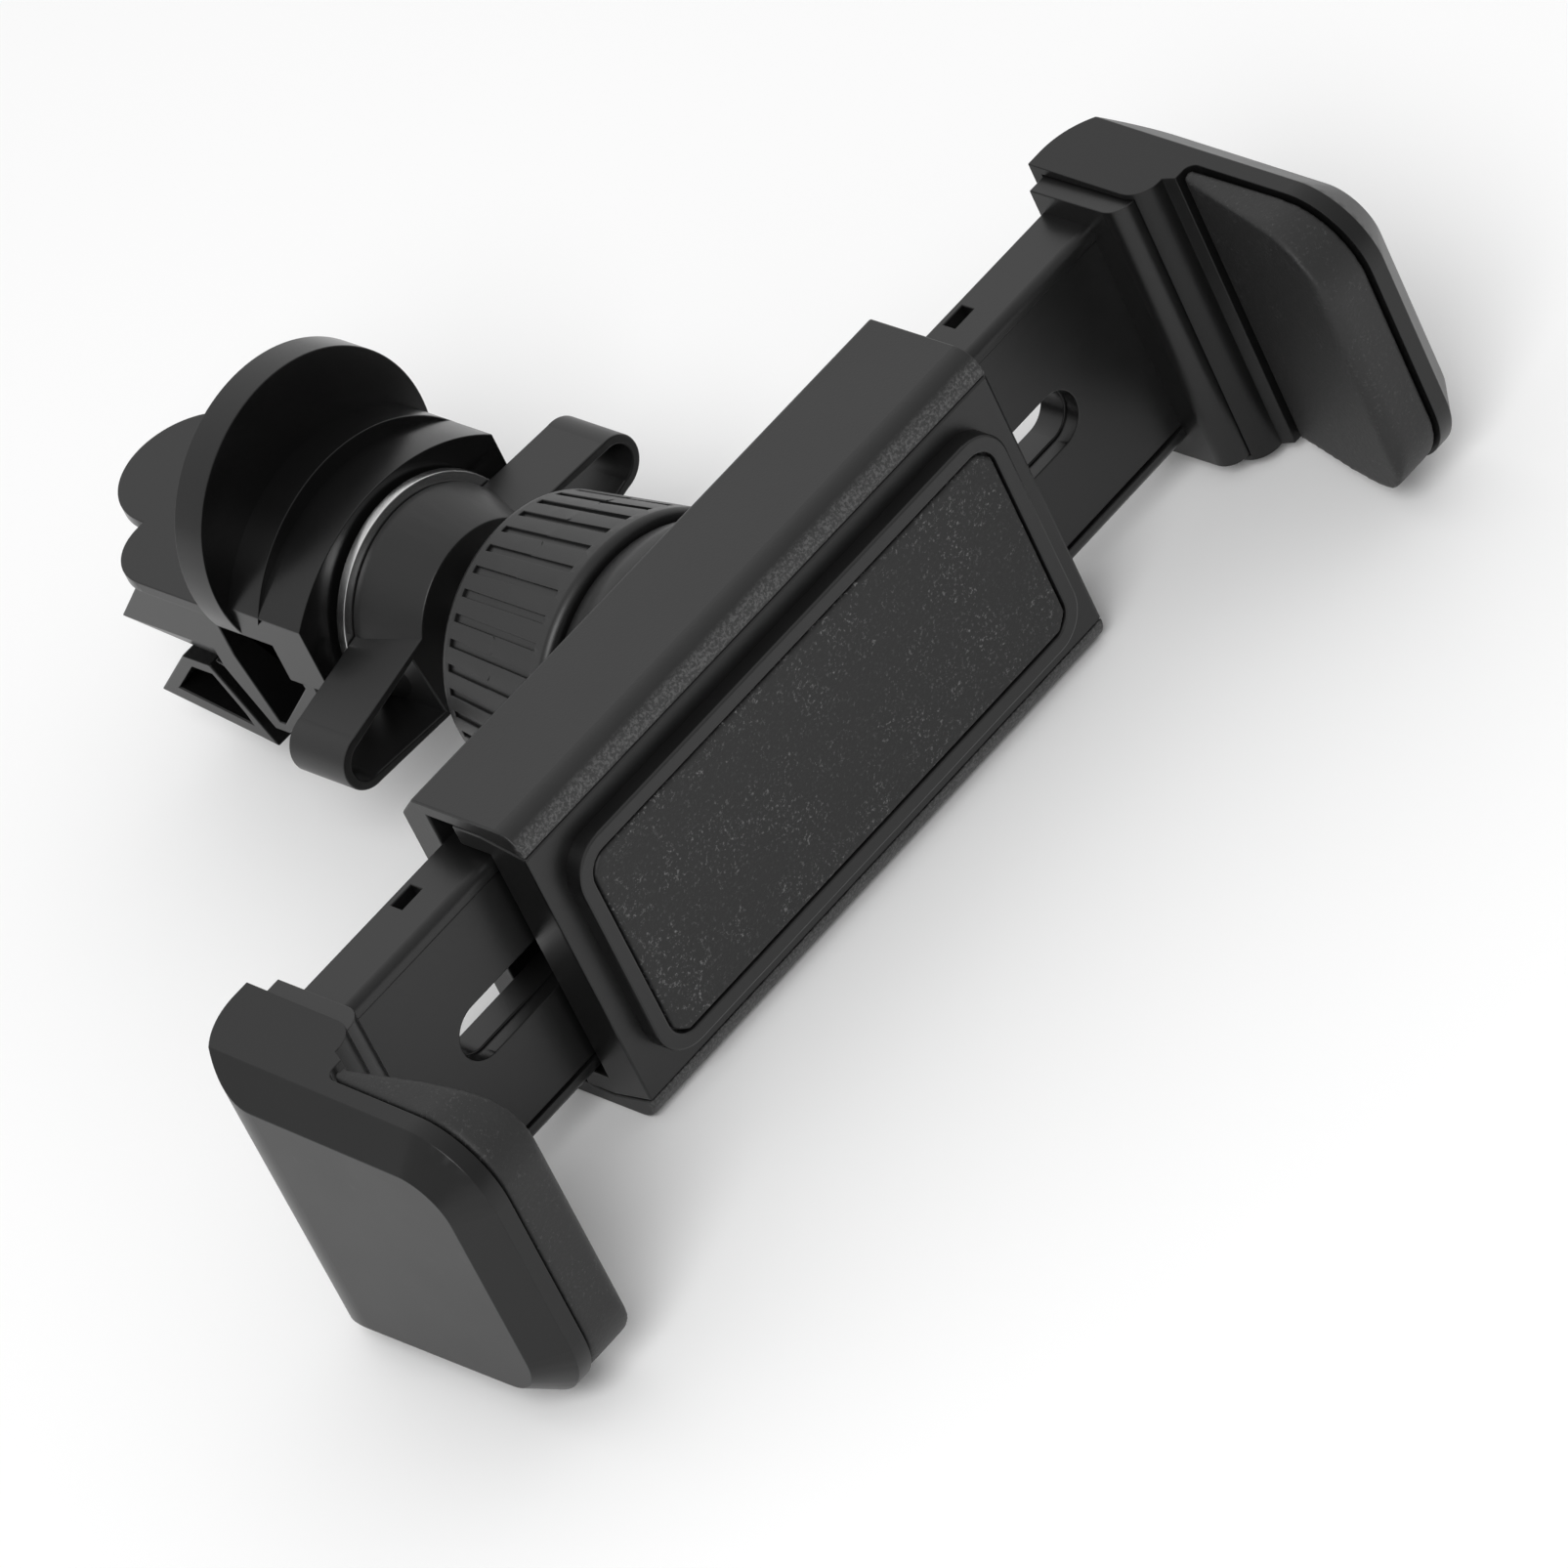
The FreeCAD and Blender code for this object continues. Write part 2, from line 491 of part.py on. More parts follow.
def make_jaw_shell(side, turn):
    body = new_body(side + "_jaw_shell", CRADLE, turn)
    half, seat = "jaw_height/2", "(jaw_pad_nose/2 + jaw_pad_gap)"
    pad(body, "XY_Plane", "-" + half, half, [[
        ("jaw_seam", "jaw_tip"), ("jaw_outer", "jaw_tip"), ("jaw_outer", "jaw_rear"),
        ("jaw_inner", "jaw_rear"),
        ("jaw_inner", "jaw_front + jaw_corner_round", "jaw_corner_round", 1),
        ("jaw_inner + jaw_corner_round", "jaw_front"), ("jaw_lip_start", "jaw_front"),
        ("jaw_lip_start + jaw_lip_slope", "jaw_pad_start + jaw_pad_gap"),
        ("jaw_seam - " + seat, "jaw_pad_start + jaw_pad_gap", seat, -1),
        ("jaw_seam", "jaw_pad_start - jaw_pad_nose/2")]])
    sided = trim_to_side(body, "0 * jaw_fit", "jaw_outer + jaw_height")
    # one bevel runs round the outer face, except along its rear edge
    DOC.recompute()
    outer, rear = value("jaw_outer"), value("jaw_rear")
    rim = ["Edge%d" % (n + 1) for n, edge in enumerate(sided.Shape.Edges)
           if edge.BoundBox.XMin > outer - 0.001 and edge.BoundBox.YMin < rear - 0.001]
    bevel = body.newObject("PartDesign::Chamfer", "Bevel")
    bevel.Base = (sided, rim)
    bind(bevel, "Size", "jaw_bevel")
    # round of the outer rear edge
    pocket(body, "XY_Plane", "-jaw_height", "jaw_height", [[
        ("jaw_outer", "jaw_rear - jaw_rear_round", "jaw_rear_round", 1),
        ("jaw_outer - jaw_rear_round", "jaw_rear"), ("jaw_outer - jaw_rear_round", "jaw_rear + jaw_height"),
        ("jaw_outer + jaw_height", "jaw_rear + jaw_height"),
        ("jaw_outer + jaw_height", "jaw_rear - jaw_rear_round")]])
    # socket for the arm's collar, and the screws' seats
    pocket(body, "XY_Plane", "-collar_height/2 - jaw_fit", "collar_height/2 + jaw_fit", [box_loop(
        "jaw_inner - collar_end", "collar_end + jaw_fit", "collar_front - jaw_fit", "collar_rear + jaw_fit")])
    for up in ("", "-"):
        spot = ("jaw_screw_place", up + "jaw_screw_spread/2")
        pocket(body, "XZ_Plane", "collar_rear", "jaw_rear",
               circles=[(spot, "jaw_screw_radius + screw_gap")])
        pocket(body, "XZ_Plane", "jaw_rear - jaw_head_height", "jaw_rear",
               circles=[(spot, "jaw_head_radius + screw_gap")])


def make_jaw_pad(side, turn):
    body = new_body(side + "_jaw_pad", CRADLE, turn)
    back = "(jaw_seam - jaw_pad_gap)"
    tip, half = "(jaw_tip + jaw_pad_inset)", "(jaw_height/2)"
    pad(body, "XY_Plane", "-" + half, half, [[
        ("jaw_pad_inner + jaw_pad_round", tip), (back, tip),
        (back, "jaw_pad_start - jaw_pad_nose/2", "jaw_pad_nose/2", 1),
        (back + " - jaw_pad_nose/2", "jaw_pad_start", "jaw_pad_nose/2", 1),
        (back + " - jaw_pad_nose", "jaw_pad_start - jaw_pad_nose/2"),
        ("jaw_pad_inner", tip + " + jaw_pad_round", "jaw_pad_round", 1)]])
    trim_to_side(body, "jaw_pad_inset", "jaw_outer + jaw_height")
    # the upper and lower sides lean in towards the phone, with a broken edge
    edge = "%s - jaw_pad_slope - jaw_pad_edge" % half
    for sign in ("", "-"):
        pocket(body, "XZ_Plane", "jaw_tip - jaw_height", "jaw_rear + jaw_height", [[
            (back, sign + half), ("jaw_pad_inner + jaw_pad_edge", "%s(%s - jaw_pad_slope)" % (sign, half)),
            ("jaw_pad_inner - jaw_pad_edge", "%s(%s - jaw_pad_edge)" % (sign, edge)),
            ("jaw_pad_inner - jaw_pad_edge", "%s(%s + jaw_pad_edge)" % (sign, half)),
            (back, "%s(%s + jaw_pad_edge)" % (sign, half))]])


def make_jaw_screws(side, turn):
    seat = "jaw_rear - jaw_head_height"
    make_screws(side + "_jaw_screws", (CRADLE, turn),
                [("jaw_screw_place", "jaw_screw_spread/2"), ("jaw_screw_place", "-jaw_screw_spread/2")],
                (seat, "jaw_rear", "jaw_head_radius"),
                ("collar_rear - jaw_screw_bite + screw_gap", seat, "jaw_screw_radius"))


# ball joint

def make_lock_ring():
    body = new_body("lock_ring", AXIS)
    bore = "neck_radius + ring_gap"
    lip = "ring_rear - ring_lip"
    revolve(body, [
        (bore, "ring_front"), ("ring_front_radius - ring_edge", "ring_front", "ring_edge", 1),
        ("ring_front_radius", "ring_front + ring_edge"),
        ("ring_rear_radius", "ring_rear - ring_edge", "ring_edge", 1),
        ("ring_rear_radius - ring_edge", "ring_rear"), ("ring_mouth_radius", "ring_rear"),
        ("ring_mouth_radius", lip), (bore, lip)])
    slope = "((ring_front_radius - ring_rear_radius) / (ring_rear - ring_front - 2 * ring_edge))"
    low, high = "(ring_front + groove_front)", "(ring_rear - groove_rear)"
    floor_low = "ring_front_radius - (%s - ring_front - ring_edge) * %s - groove_depth" % (low, slope)
    floor_high = "ring_front_radius - (%s - ring_front - ring_edge) * %s - groove_depth" % (high, slope)
    groove = pocket(body, "XY_Plane", "-groove_width/2", "groove_width/2", [[
        (floor_low, low), ("ring_front_radius + ring_edge", low),
        ("ring_front_radius + ring_edge", high), (floor_high, high)]])
    knurl = body.newObject("PartDesign::PolarPattern", "Knurl")
    knurl.Originals = [groove]
    knurl.Axis = (plane_of(body, "Y_Axis"), [""])
    knurl.Angle = 360
    bind(knurl, "Occurrences", "groove_count")
    body.Tip = knurl


def make_friction_ring():
    body = new_body("friction_ring", AXIS)
    low, high = "friction_ring_front", "(ring_rear - ring_lip - seam_gap)"
    seat = "(ball_radius + ball_gap)"
    revolve(body, [
        ("neck_radius", low), ("neck_radius", high),
        ("sqrt(%s^2 - %s^2)" % (seat, high), high, seat, -1), ("sqrt(%s^2 - %s^2)" % (seat, low), low)])


def make_ball_stud():
    body = new_body("ball_stud", AXIS)
    join = "sqrt(ball_radius^2 - stud_neck_radius^2)"
    revolve(body, [
        ("0", "-ball_radius", "ball_radius", 1), ("ball_radius", "0", "ball_radius", 1),
        ("stud_neck_radius", join), ("stud_neck_radius", "stud_neck_end"), ("stud_radius", "stud_neck_end"),
        ("stud_radius", "stud_end"), ("0", "stud_end")])


# wing nut and washer

def make_wing_nut():
    body = new_body("wing_nut", AXIS, value("wing_rest_angle"))
    root = "wing_root_height/2"
    foot = "sqrt(wing_hub_radius^2 - (%s)^2)" % root
    tip, r, hub = "(wing_span/2 - wing_tip_radius)", "wing_tip_radius", "wing_hub_radius"
    pad(body, "XZ_Plane", "wing_front", "wing_rear", [[
        (foot, "-" + root), (tip, "-" + r, r, 1), (tip, r), (foot, root, hub, 1),
        ("-" + foot, root), ("-" + tip, r, r, 1), ("-" + tip, "-" + r), ("-" + foot, "-" + root, hub, 1)]])
    # each wing is a hollow loop
    hollow = "(wing_tip_radius - wing_wall)"
    start = "(wing_hub_radius + wing_wall * 3/4)"
    wide = "(%s - wing_wall)" % root
    for sign in ("", "-"):
        turn = 1 if sign == "" else -1
        pocket(body, "XZ_Plane", "wing_front", "wing_rear", [[
            (sign + start, "-" + wide), (sign + tip, "-" + hollow, hollow, turn),
            (sign + tip, hollow), (sign + start, wide)]])
    # the hub widens towards the washer
    revolve(body, [("0", "wing_front"), (hub, "wing_front"),
                   ("wing_hub_foot", "wing_rear - washer_thickness"), ("wing_hub_foot", "wing_rear"),
                   ("0", "wing_rear")])
    pocket(body, "XZ_Plane", "wing_front", "wing_rear",
           circles=[(("0", "0"), "stud_radius + wing_bore_gap")])


def make_thrust_washer():
    body = new_body("thrust_washer", AXIS)
    low = "wing_rear + washer_gap"
    pad(body, "XZ_Plane", low, low + " + washer_thickness", circles=[
        (("0", "0"), "washer_radius"), (("0", "0"), "stud_radius + washer_hole_gap")])


# vent clip

def arch_loop(top, foot):
    # an arched slab: level foot, short sides, round back
    rise = "(%s - arch_side)" % top
    radius = "(arch_half^2 + %s^2) / (2 * %s)" % (rise, rise)
    return [("-arch_half", foot), ("arch_half", foot), ("arch_half", "arch_side", radius, 1),
            ("-arch_half", "arch_side")]


def make_clip_body():
    body = new_body("clip_body", AXIS)
    pad(body, "XZ_Plane", "arch_step", "disc_rear", [arch_loop("arch_high_top", "arch_base")])
    pad(body, "XZ_Plane", "clip_front", "arch_step + seam_gap", [arch_loop("arch_low_top", "arch_foot")])
    # half disc flange
    edge = "sqrt(disc_radius^2 - (disc_centre - arch_base)^2)"
    pad(body, "XZ_Plane", "disc_front", "disc_rear", [[
        ("-" + edge, "arch_base"), (edge, "arch_base", "disc_radius", 1),
        ("0", "disc_centre + disc_radius", "disc_radius", 1)]])
    # flat plate behind the disc, with round shoulders and a round tab
    shoulder = "plate_half - plate_round"
    pad(body, "XY_Plane", "block_top", "plate_top", [[
        ("-plate_half", "disc_front"), ("plate_half", "disc_front"),
        ("plate_half", "plate_rear - plate_round", "plate_round", 1), (shoulder, "plate_rear"),
        ("tab_half", "plate_rear"), ("tab_half", "tab_centre", "tab_half", 1), ("0", "tab_centre + tab_half",
                                                                              "tab_half", 1),
        ("-tab_half", "tab_centre"), ("-tab_half", "plate_rear"),
        ("-(%s)" % shoulder, "plate_rear", "plate_round", 1), ("-plate_half", "plate_rear - plate_round")]])
    # block with the leg and the upper prong
    pad(body, "YZ_Plane", "-clip_width/2", "clip_width/2", [[
        ("block_front", "block_top"), ("block_front", "block_front_drop"), ("leg_front", "leg_bottom"),
        ("leg_rear", "leg_bottom"), ("prong_root", "prong_root_drop"), ("prong_flat", "prong_under"),
        ("prong_end", "prong_under + prong_edge"), ("prong_top_end", "block_top")]])
    for sign in ("", "-"):
        pocket(body, "XZ_Plane", "prong_root", "prong_end", [[
            (sign + "clip_width/2", "prong_under + prong_edge"),
            (sign + "(clip_width/2 - prong_draft)", "prong_under - prong_edge/4"),
            (sign + "clip_width/2", "prong_under - prong_edge/4")]])
    # each side is hollowed out behind a rim
    floor, roof = "(clip_width/2 - clip_recess)", "block_top - 3/4 * clip_rim"
    recess = [
        ("block_front + 5/4 * clip_rim", roof),
        ("block_front + 5/4 * clip_rim", "block_front_drop + clip_rim/4"),
        ("leg_front - clip_rim/8", "leg_bottom + clip_rim"), ("leg_rear - clip_rim", "leg_bottom + clip_rim"),
        ("recess_rear", "prong_root_drop + 2 * clip_rim"), ("recess_rear", roof)]
    pocket(body, "YZ_Plane", floor, "clip_width/2", [recess])
    pocket(body, "YZ_Plane", "-clip_width/2", "-" + floor, [recess])
    pocket(body, "XZ_Plane", "clip_front", "stud_end + stud_fit",
           circles=[(("0", "0"), "stud_radius + stud_fit")])
    # room for the lower jaw's tongue, and the hinge pin's hole
    slot = "tongue_width/2 + tongue_gap"
    pocket(body, "YZ_Plane", "-(%s)" % slot, slot, [box_loop(
        "block_front + tongue_gap", "prong_root + tongue_width", "leg_bottom - tongue_width", "tongue_roof")])
    pocket(body, "YZ_Plane", "-pin_length/2", "pin_length/2",
           circles=[(("pin_place", "pin_drop"), "pin_radius")])


def make_lower_jaw():
    body = new_body("lower_jaw", AXIS)
    half = "tongue_width/2"
    front = "(wing_rear + washer_gap + washer_thickness + tail_gap)"
    pad(body, "YZ_Plane", "-clip_width/2", "clip_width/2", [[
        ("lower_top_front", "lower_top"), ("lower_throat", "lower_throat_drop"),
        ("lower_heel", "lower_heel_drop"), ("lower_sole", "lower_sole_drop"),
        ("lower_end", "lower_end_drop"), ("lower_top_rear", "lower_top")]])
    # each side is hollowed out behind a rim
    floor = "(clip_width/2 - clip_recess)"
    recess = [
        ("lower_top_front + clip_rim/4", "lower_top - clip_rim"),
        ("lower_throat + 2/3 * clip_rim", "lower_throat_drop - clip_rim/2"),
        ("lower_sole + clip_rim/4", "lower_sole_drop + 5/4 * clip_rim"),
        ("lower_end - 5/2 * clip_rim", "lower_end_drop + clip_rim"),
        ("lower_top_rear - clip_rim/2", "lower_top - clip_rim")]
    pocket(body, "YZ_Plane", floor, "clip_width/2", [recess])
    pocket(body, "YZ_Plane", "-clip_width/2", "-" + floor, [recess])
    # tongue with the tail that the washer pushes
    pad(body, "YZ_Plane", "-" + half, half, [[
        ("lower_throat", "lower_throat_drop"), ("pin_place + pin_boss_radius", "pin_drop"),
        ("pin_place - pin_boss_radius", "pin_drop"), ("tail_root", "tail_top"), (front, "tail_top"),
        (front, "tail_bottom"), ("tail_root", "lower_heel_drop"), ("lower_heel", "lower_heel_drop")]])
    pad(body, "YZ_Plane", "-" + half, half, circles=[(("pin_place", "pin_drop"), "pin_boss_radius")])
    pocket(body, "YZ_Plane", "-clip_width/2", "clip_width/2",
           circles=[(("pin_place", "pin_drop"), "pin_radius + pin_gap")])


def make_jaw_pin():
    body = new_body("jaw_pin", AXIS)
    pad(body, "YZ_Plane", "-pin_length/2", "pin_length/2",
        circles=[(("pin_place", "pin_drop"), "pin_radius")])


def make_jaw_spring():
    # a leaf under the tongue's roof that bears down on the tail
    body = new_body("jaw_spring", AXIS)
    half = "jaw_spring_width/2"
    start = "block_front + 2 * tongue_gap"
    pad(body, "YZ_Plane", "-" + half, half, [[
        (start, "tongue_roof"), (start, "tongue_roof - jaw_spring_thickness"),
        ("pin_place - pin_boss_radius - 2 * tongue_gap", "tongue_roof - jaw_spring_thickness"),
        ("pin_place - pin_boss_radius - 2 * tongue_gap", "tongue_roof")]])


make_rear_shell()
make_front_cover()
make_front_pad()
make_cover_screws()
make_pinion()
make_detent_spring()
for side, turn in (("right", 0), ("left", 180)):
    make_arm(side, turn)
    make_jaw_shell(side, turn)
    make_jaw_pad(side, turn)
    make_jaw_screws(side, turn)
make_lock_ring()
make_friction_ring()
make_ball_stud()
make_wing_nut()
make_thrust_washer()
make_clip_body()
make_lower_jaw()
make_jaw_pin()
make_jaw_spring()
DOC.recompute()

for thing in DOC.Objects:
    if "Invalid" in thing.State or "Error" in thing.State:
        raise RuntimeError("failed: %s %s" % (thing.Label, thing.State))
os.makedirs("parts", exist_ok=True)
for part in PARTS:
    if part.Shape.isNull() or not part.Shape.isValid():
        raise RuntimeError("bad shape: " + part.Label)
for part in PARTS:
    part.Shape.exportStep("parts/%s.step" % part.Label)
    print(part.Label, len(part.Shape.Solids), round(part.Shape.Volume, 1))
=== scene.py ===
import math

import bmesh
import bpy
from mathutils import Matrix, Vector


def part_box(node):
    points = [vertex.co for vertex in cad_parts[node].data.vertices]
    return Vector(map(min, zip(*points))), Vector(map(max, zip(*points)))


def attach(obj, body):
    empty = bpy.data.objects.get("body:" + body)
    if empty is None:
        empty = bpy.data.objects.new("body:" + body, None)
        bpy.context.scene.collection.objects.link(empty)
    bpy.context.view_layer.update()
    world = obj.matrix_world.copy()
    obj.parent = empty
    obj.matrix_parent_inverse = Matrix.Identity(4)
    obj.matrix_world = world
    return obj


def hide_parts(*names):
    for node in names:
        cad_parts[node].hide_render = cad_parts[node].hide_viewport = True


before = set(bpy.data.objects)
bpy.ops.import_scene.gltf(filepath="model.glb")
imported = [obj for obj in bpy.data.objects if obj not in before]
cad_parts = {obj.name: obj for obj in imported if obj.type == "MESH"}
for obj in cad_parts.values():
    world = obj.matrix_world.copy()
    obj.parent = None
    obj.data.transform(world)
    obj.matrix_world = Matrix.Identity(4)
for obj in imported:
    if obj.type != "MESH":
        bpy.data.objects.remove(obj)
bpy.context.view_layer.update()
scene = bpy.context.scene
scene.view_settings.view_transform = "Standard"


# a socket with arithmetic: an expression on values adds its Math nodes
class Wire:
    def __init__(self, tree, socket=None):
        self.tree = tree
        self.socket = socket

    # any node: its type, its settings, the values or links of its sockets, and the output wanted
    def node(self, kind, settings=None, inputs=None, out=0):
        made = self.tree.nodes.new(kind)
        for key, value in (settings or {}).items():
            setattr(made, key, value)
        for key, value in (inputs or {}).items():
            if isinstance(value, Wire):
                self.tree.links.new(value.socket, made.inputs[key])
            else:
                made.inputs[key].default_value = value
        return Wire(self.tree, None if out is None else made.outputs[out])

    def maths(self, operation, *values):
        return self.node("ShaderNodeMath", {"operation": operation}, dict(enumerate(values)))

    def __add__(self, other):
        return self.maths("ADD", self, other)

    def __radd__(self, other):
        return self.maths("ADD", other, self)

    def __sub__(self, other):
        return self.maths("SUBTRACT", self, other)

    def __rsub__(self, other):
        return self.maths("SUBTRACT", other, self)

    def __mul__(self, other):
        return self.maths("MULTIPLY", self, other)

    def __rmul__(self, other):
        return self.maths("MULTIPLY", other, self)

    # 0 below low and 1 above high, smooth between
    def step(self, low, high):
        return self.node("ShaderNodeMapRange", {"interpolation_type": "SMOOTHSTEP"},
                         {"Value": self, "From Min": low, "From Max": high})

    # the first colour where this is 0, the second where it is 1
    def colours(self, first, second):
        return self.node("ShaderNodeMix", {"data_type": "RGBA"}, {0: self, 6: first, 7: second}, 2)


def grey(tone):
    return (tone, tone, tone, 1)


# the start of a finish: its material, its Principled shader, and the place on the surface in metres
def startFinish(name):
    finish = bpy.data.materials.new(name)
    finish.use_nodes = True
    tree = finish.node_tree
    shader = tree.nodes["Principled BSDF"]
    place = Wire(tree).node("ShaderNodeTexCoord", out="Object")
    return finish, shader, place


def feed(shader, socket, wire):
    wire.tree.links.new(wire.socket, shader.inputs[socket])


def noise(place, size, detail=2.0, rough=0.5):
    return place.node("ShaderNodeTexNoise", {}, {"Vector": place, "Scale": 1 / size, "Detail": detail,
                                                "Roughness": rough}, "Fac")


def stretched(place, scale):
    return place.node("ShaderNodeVectorMath", {"operation": "MULTIPLY"}, {0: place, 1: scale})


def axis(place, letter):
    return place.node("ShaderNodeSeparateXYZ", {}, {0: place}, letter)


def dent(place, height, depth):
    return place.node("ShaderNodeBump", {}, {"Strength": 1.0, "Distance": depth, "Height": height}, "Normal")


# camera
photoCamera = {
    "place": (-0.389316, -0.659547, 0.616236),
    "right": (0.627390, -0.694202, -0.352796),
    "up": (0.669472, 0.249448, 0.699702),
    "ahead": (0.397730, 0.675173, -0.621250),
    "lens": 269.159, "sensor": 36.0,
    "nearest": 0.01, "farthest": 50,
}


def setCamera():
    lens = bpy.data.cameras.new("photoCamera")
    lens.lens, lens.sensor_width, lens.sensor_fit = photoCamera["lens"], photoCamera["sensor"], "HORIZONTAL"
    lens.clip_start, lens.clip_end = photoCamera["nearest"], photoCamera["farthest"]
    camera = bpy.data.objects.new("photoCamera", lens)
    scene.collection.objects.link(camera)
    turn = Matrix([photoCamera["right"], photoCamera["up"], -Vector(photoCamera["ahead"])]).transposed()
    camera.matrix_world = Matrix.Translation(photoCamera["place"]) @ turn.to_4x4()
    scene.camera = camera


setCamera()
print("camera set")


# floor and light
studio = {
    "floorTone": 0.93, "floorDrift": 0.01, "floorHalf": 4.0, "floorDrop": 0.00005,
    "floorGloss": 0.85, "floorShine": 0.1,
    "skyTone": 0.42, "skyRise": 0.14, "skyBack": 0.50,
    "keyPlace": (-0.75, -0.65, 1.05), "keyAim": (0, 0.01, 0.01), "keySize": 0.8, "keyWatts": 11.3,
}


def setLamp():
    lamp = bpy.data.lights.new("keyLamp", "AREA")
    lamp.shape, lamp.size, lamp.energy = "DISK", studio["keySize"], studio["keyWatts"]
    holder = bpy.data.objects.new("keyLamp", lamp)
    scene.collection.objects.link(holder)
    holder.location = studio["keyPlace"]
    ahead = Vector(studio["keyAim"]) - Vector(studio["keyPlace"])
    holder.rotation_euler = ahead.to_track_quat("-Z", "Y").to_euler()


def setFloor():
    half, tone, drift = studio["floorHalf"], studio["floorTone"], studio["floorDrift"]
    corners = [(-half, -half, 0), (half, -half, 0), (half, half, 0), (-half, half, 0)]
    sheet = bpy.data.meshes.new("floor")
    sheet.from_pydata(corners, [], [(0, 1, 2, 3)])
    floor = bpy.data.objects.new("floor", sheet)
    scene.collection.objects.link(floor)
    floor.location.z = -studio["floorDrop"]
    paper, shader, place = startFinish("floorPaper")
    feed(shader, "Base Color", noise(place, 0.4, 3).colours(grey(tone - drift), grey(tone + drift)))
    shader.inputs["Roughness"].default_value = studio["floorGloss"]
    shader.inputs["Specular IOR Level"].default_value = studio["floorShine"]
    sheet.materials.append(paper)


# a plain sky, brighter above and behind the part
def setSky():
    world = bpy.data.worlds.new("studioSky")
    world.use_nodes = True
    scene.world = world
    tree = world.node_tree
    way = Wire(tree).node("ShaderNodeTexCoord", out="Generated")
    rise = axis(way, "Z").step(0.0, 0.8)
    back = (0.5 * axis(way, "X") + axis(way, "Y")).step(-0.5, 0.9)
    light = studio["skyTone"] + back * studio["skyBack"] + rise * studio["skyRise"]
    sky = tree.nodes["Background"]
    feed(sky, "Color", light)
    sky.inputs["Strength"].default_value = 1.0


setFloor()
setSky()
setLamp()
print("floor and light set")


# moulded black plastics: a fine spark-eroded grain, faint flow clouds and rubbed spots; sizes in metres
plasticMarks = {"cloudSize": 0.006, "rubSize": 0.0016, "rubStretch": (0.35, 1, 1), "rubStep": (0.60, 0.78)}
plasticLooks = {
    # the housing's fleck tone below is partly the blasted band's own grey and partly painted sheen
    "shellBlack": {"tone": 0.0055, "gloss": 0.42, "grain": 0.00022, "depth": 0.000010, "clouds": 0.10,
                   "blastAndSheen": 0.075},
    "coverBlack": {"tone": 0.0045, "gloss": 0.36, "grain": 0.00020, "depth": 0.000006, "clouds": 0.08},
    "armBlack": {"tone": 0.0045, "gloss": 0.32, "grain": 0.00016, "depth": 0.000004, "clouds": 0.08},
    "jawBlack": {"tone": 0.0045, "gloss": 0.36, "grain": 0.00018, "depth": 0.000004, "clouds": 0.07,
                 "shine": 0.36},
    "ringBlack": {"tone": 0.0055, "gloss": 0.40, "grain": 0.00020, "depth": 0.000005, "clouds": 0.08},
    "clipBlack": {"tone": 0.0035, "gloss": 0.25, "grain": 0.00025, "depth": 0.000003, "clouds": 0.10,
                  "shine": 0.40},
}


def plastic(name):
    look = plasticLooks[name]
    finish, shader, place = startFinish(name)
    grain = noise(place, look["grain"], 2, 0.6)
    clouds = noise(place, plasticMarks["cloudSize"], 4)
    streaks = noise(stretched(place, plasticMarks["rubStretch"]), plasticMarks["rubSize"], 3, 0.6)
    rubs = streaks.step(*plasticMarks["rubStep"])
    patch = clouds * (1 - 0.4 * rubs) + 0.12 * rubs
    tone = look["tone"]
    feed(shader, "Base Color", patch.colours(grey(tone * 0.8), grey(tone * 1.25)))
    feed(shader, "Roughness", look["gloss"] - look["clouds"] / 2 + clouds * look["clouds"] - 0.03 * rubs)
    shader.inputs["Specular IOR Level"].default_value = look.get("shine", 0.5)
    feed(shader, "Normal", dent(place, grain, look["depth"]))
    return finish


# the housing: as the other plastics, with a paler blasted band on its front lips, beside the cover's seams;
# the band's pale flecks are partly the blasted finish's own grey and partly a painted sheen standing in for
# the glints of its grit
shellMarks = {"cloudSize": 0.007, "blastSize": 0.00026, "blastSheenStep": (0.44, 0.62),
              "bandEnd": (-0.0070, -0.0064)}


def shellPlastic():
    look = plasticLooks["shellBlack"]
    finish, shader, place = startFinish("shellBlack")
    grain = noise(place, look["grain"], 2, 0.6)
    blasted = noise(place, shellMarks["blastSize"], 3, 0.7)
    clouds = noise(place, shellMarks["cloudSize"], 4)
    band = 1 - axis(place, "Y").step(*shellMarks["bandEnd"])
    tone = look["tone"]
    # pale flecks along the front band: partly the blasted finish's own greyer tone, partly a painted sheen
    # in place of the glints of the blasted grit
    blastAndSheen = band * (0.25 + 0.75 * blasted.step(*shellMarks["blastSheenStep"]))
    plain = clouds.colours(grey(tone * 0.8), grey(tone * 1.25))
    feed(shader, "Base Color", blastAndSheen.colours(plain, grey(look["blastAndSheen"])))
    feed(shader, "Roughness", look["gloss"] - 0.05 + clouds * look["clouds"] + 0.08 * band)
    height = grain * (1 - band) * 0.35 + blasted * band * 1.6
    feed(shader, "Normal", dent(place, height, look["depth"] * 3))
    return finish


rubberMarks = {"cellSize": 0.0007, "creaseStep": (0.02, 0.22), "driftSize": 0.005, "driftStep": (0.42, 0.60),
               "fleckSize": 0.00034, "fleckStep": (0.55, 0.70)}
rubberLooks = {
    "frontRubber": {"tone": 0.0050, "speck": 0.20, "gloss": 0.52, "crinkle": 0.00035, "depth": 0.000045},
    "jawRubber": {"tone": 0.0075, "speck": 0.055, "gloss": 0.50, "crinkle": 0.00030, "depth": 0.000035},
}


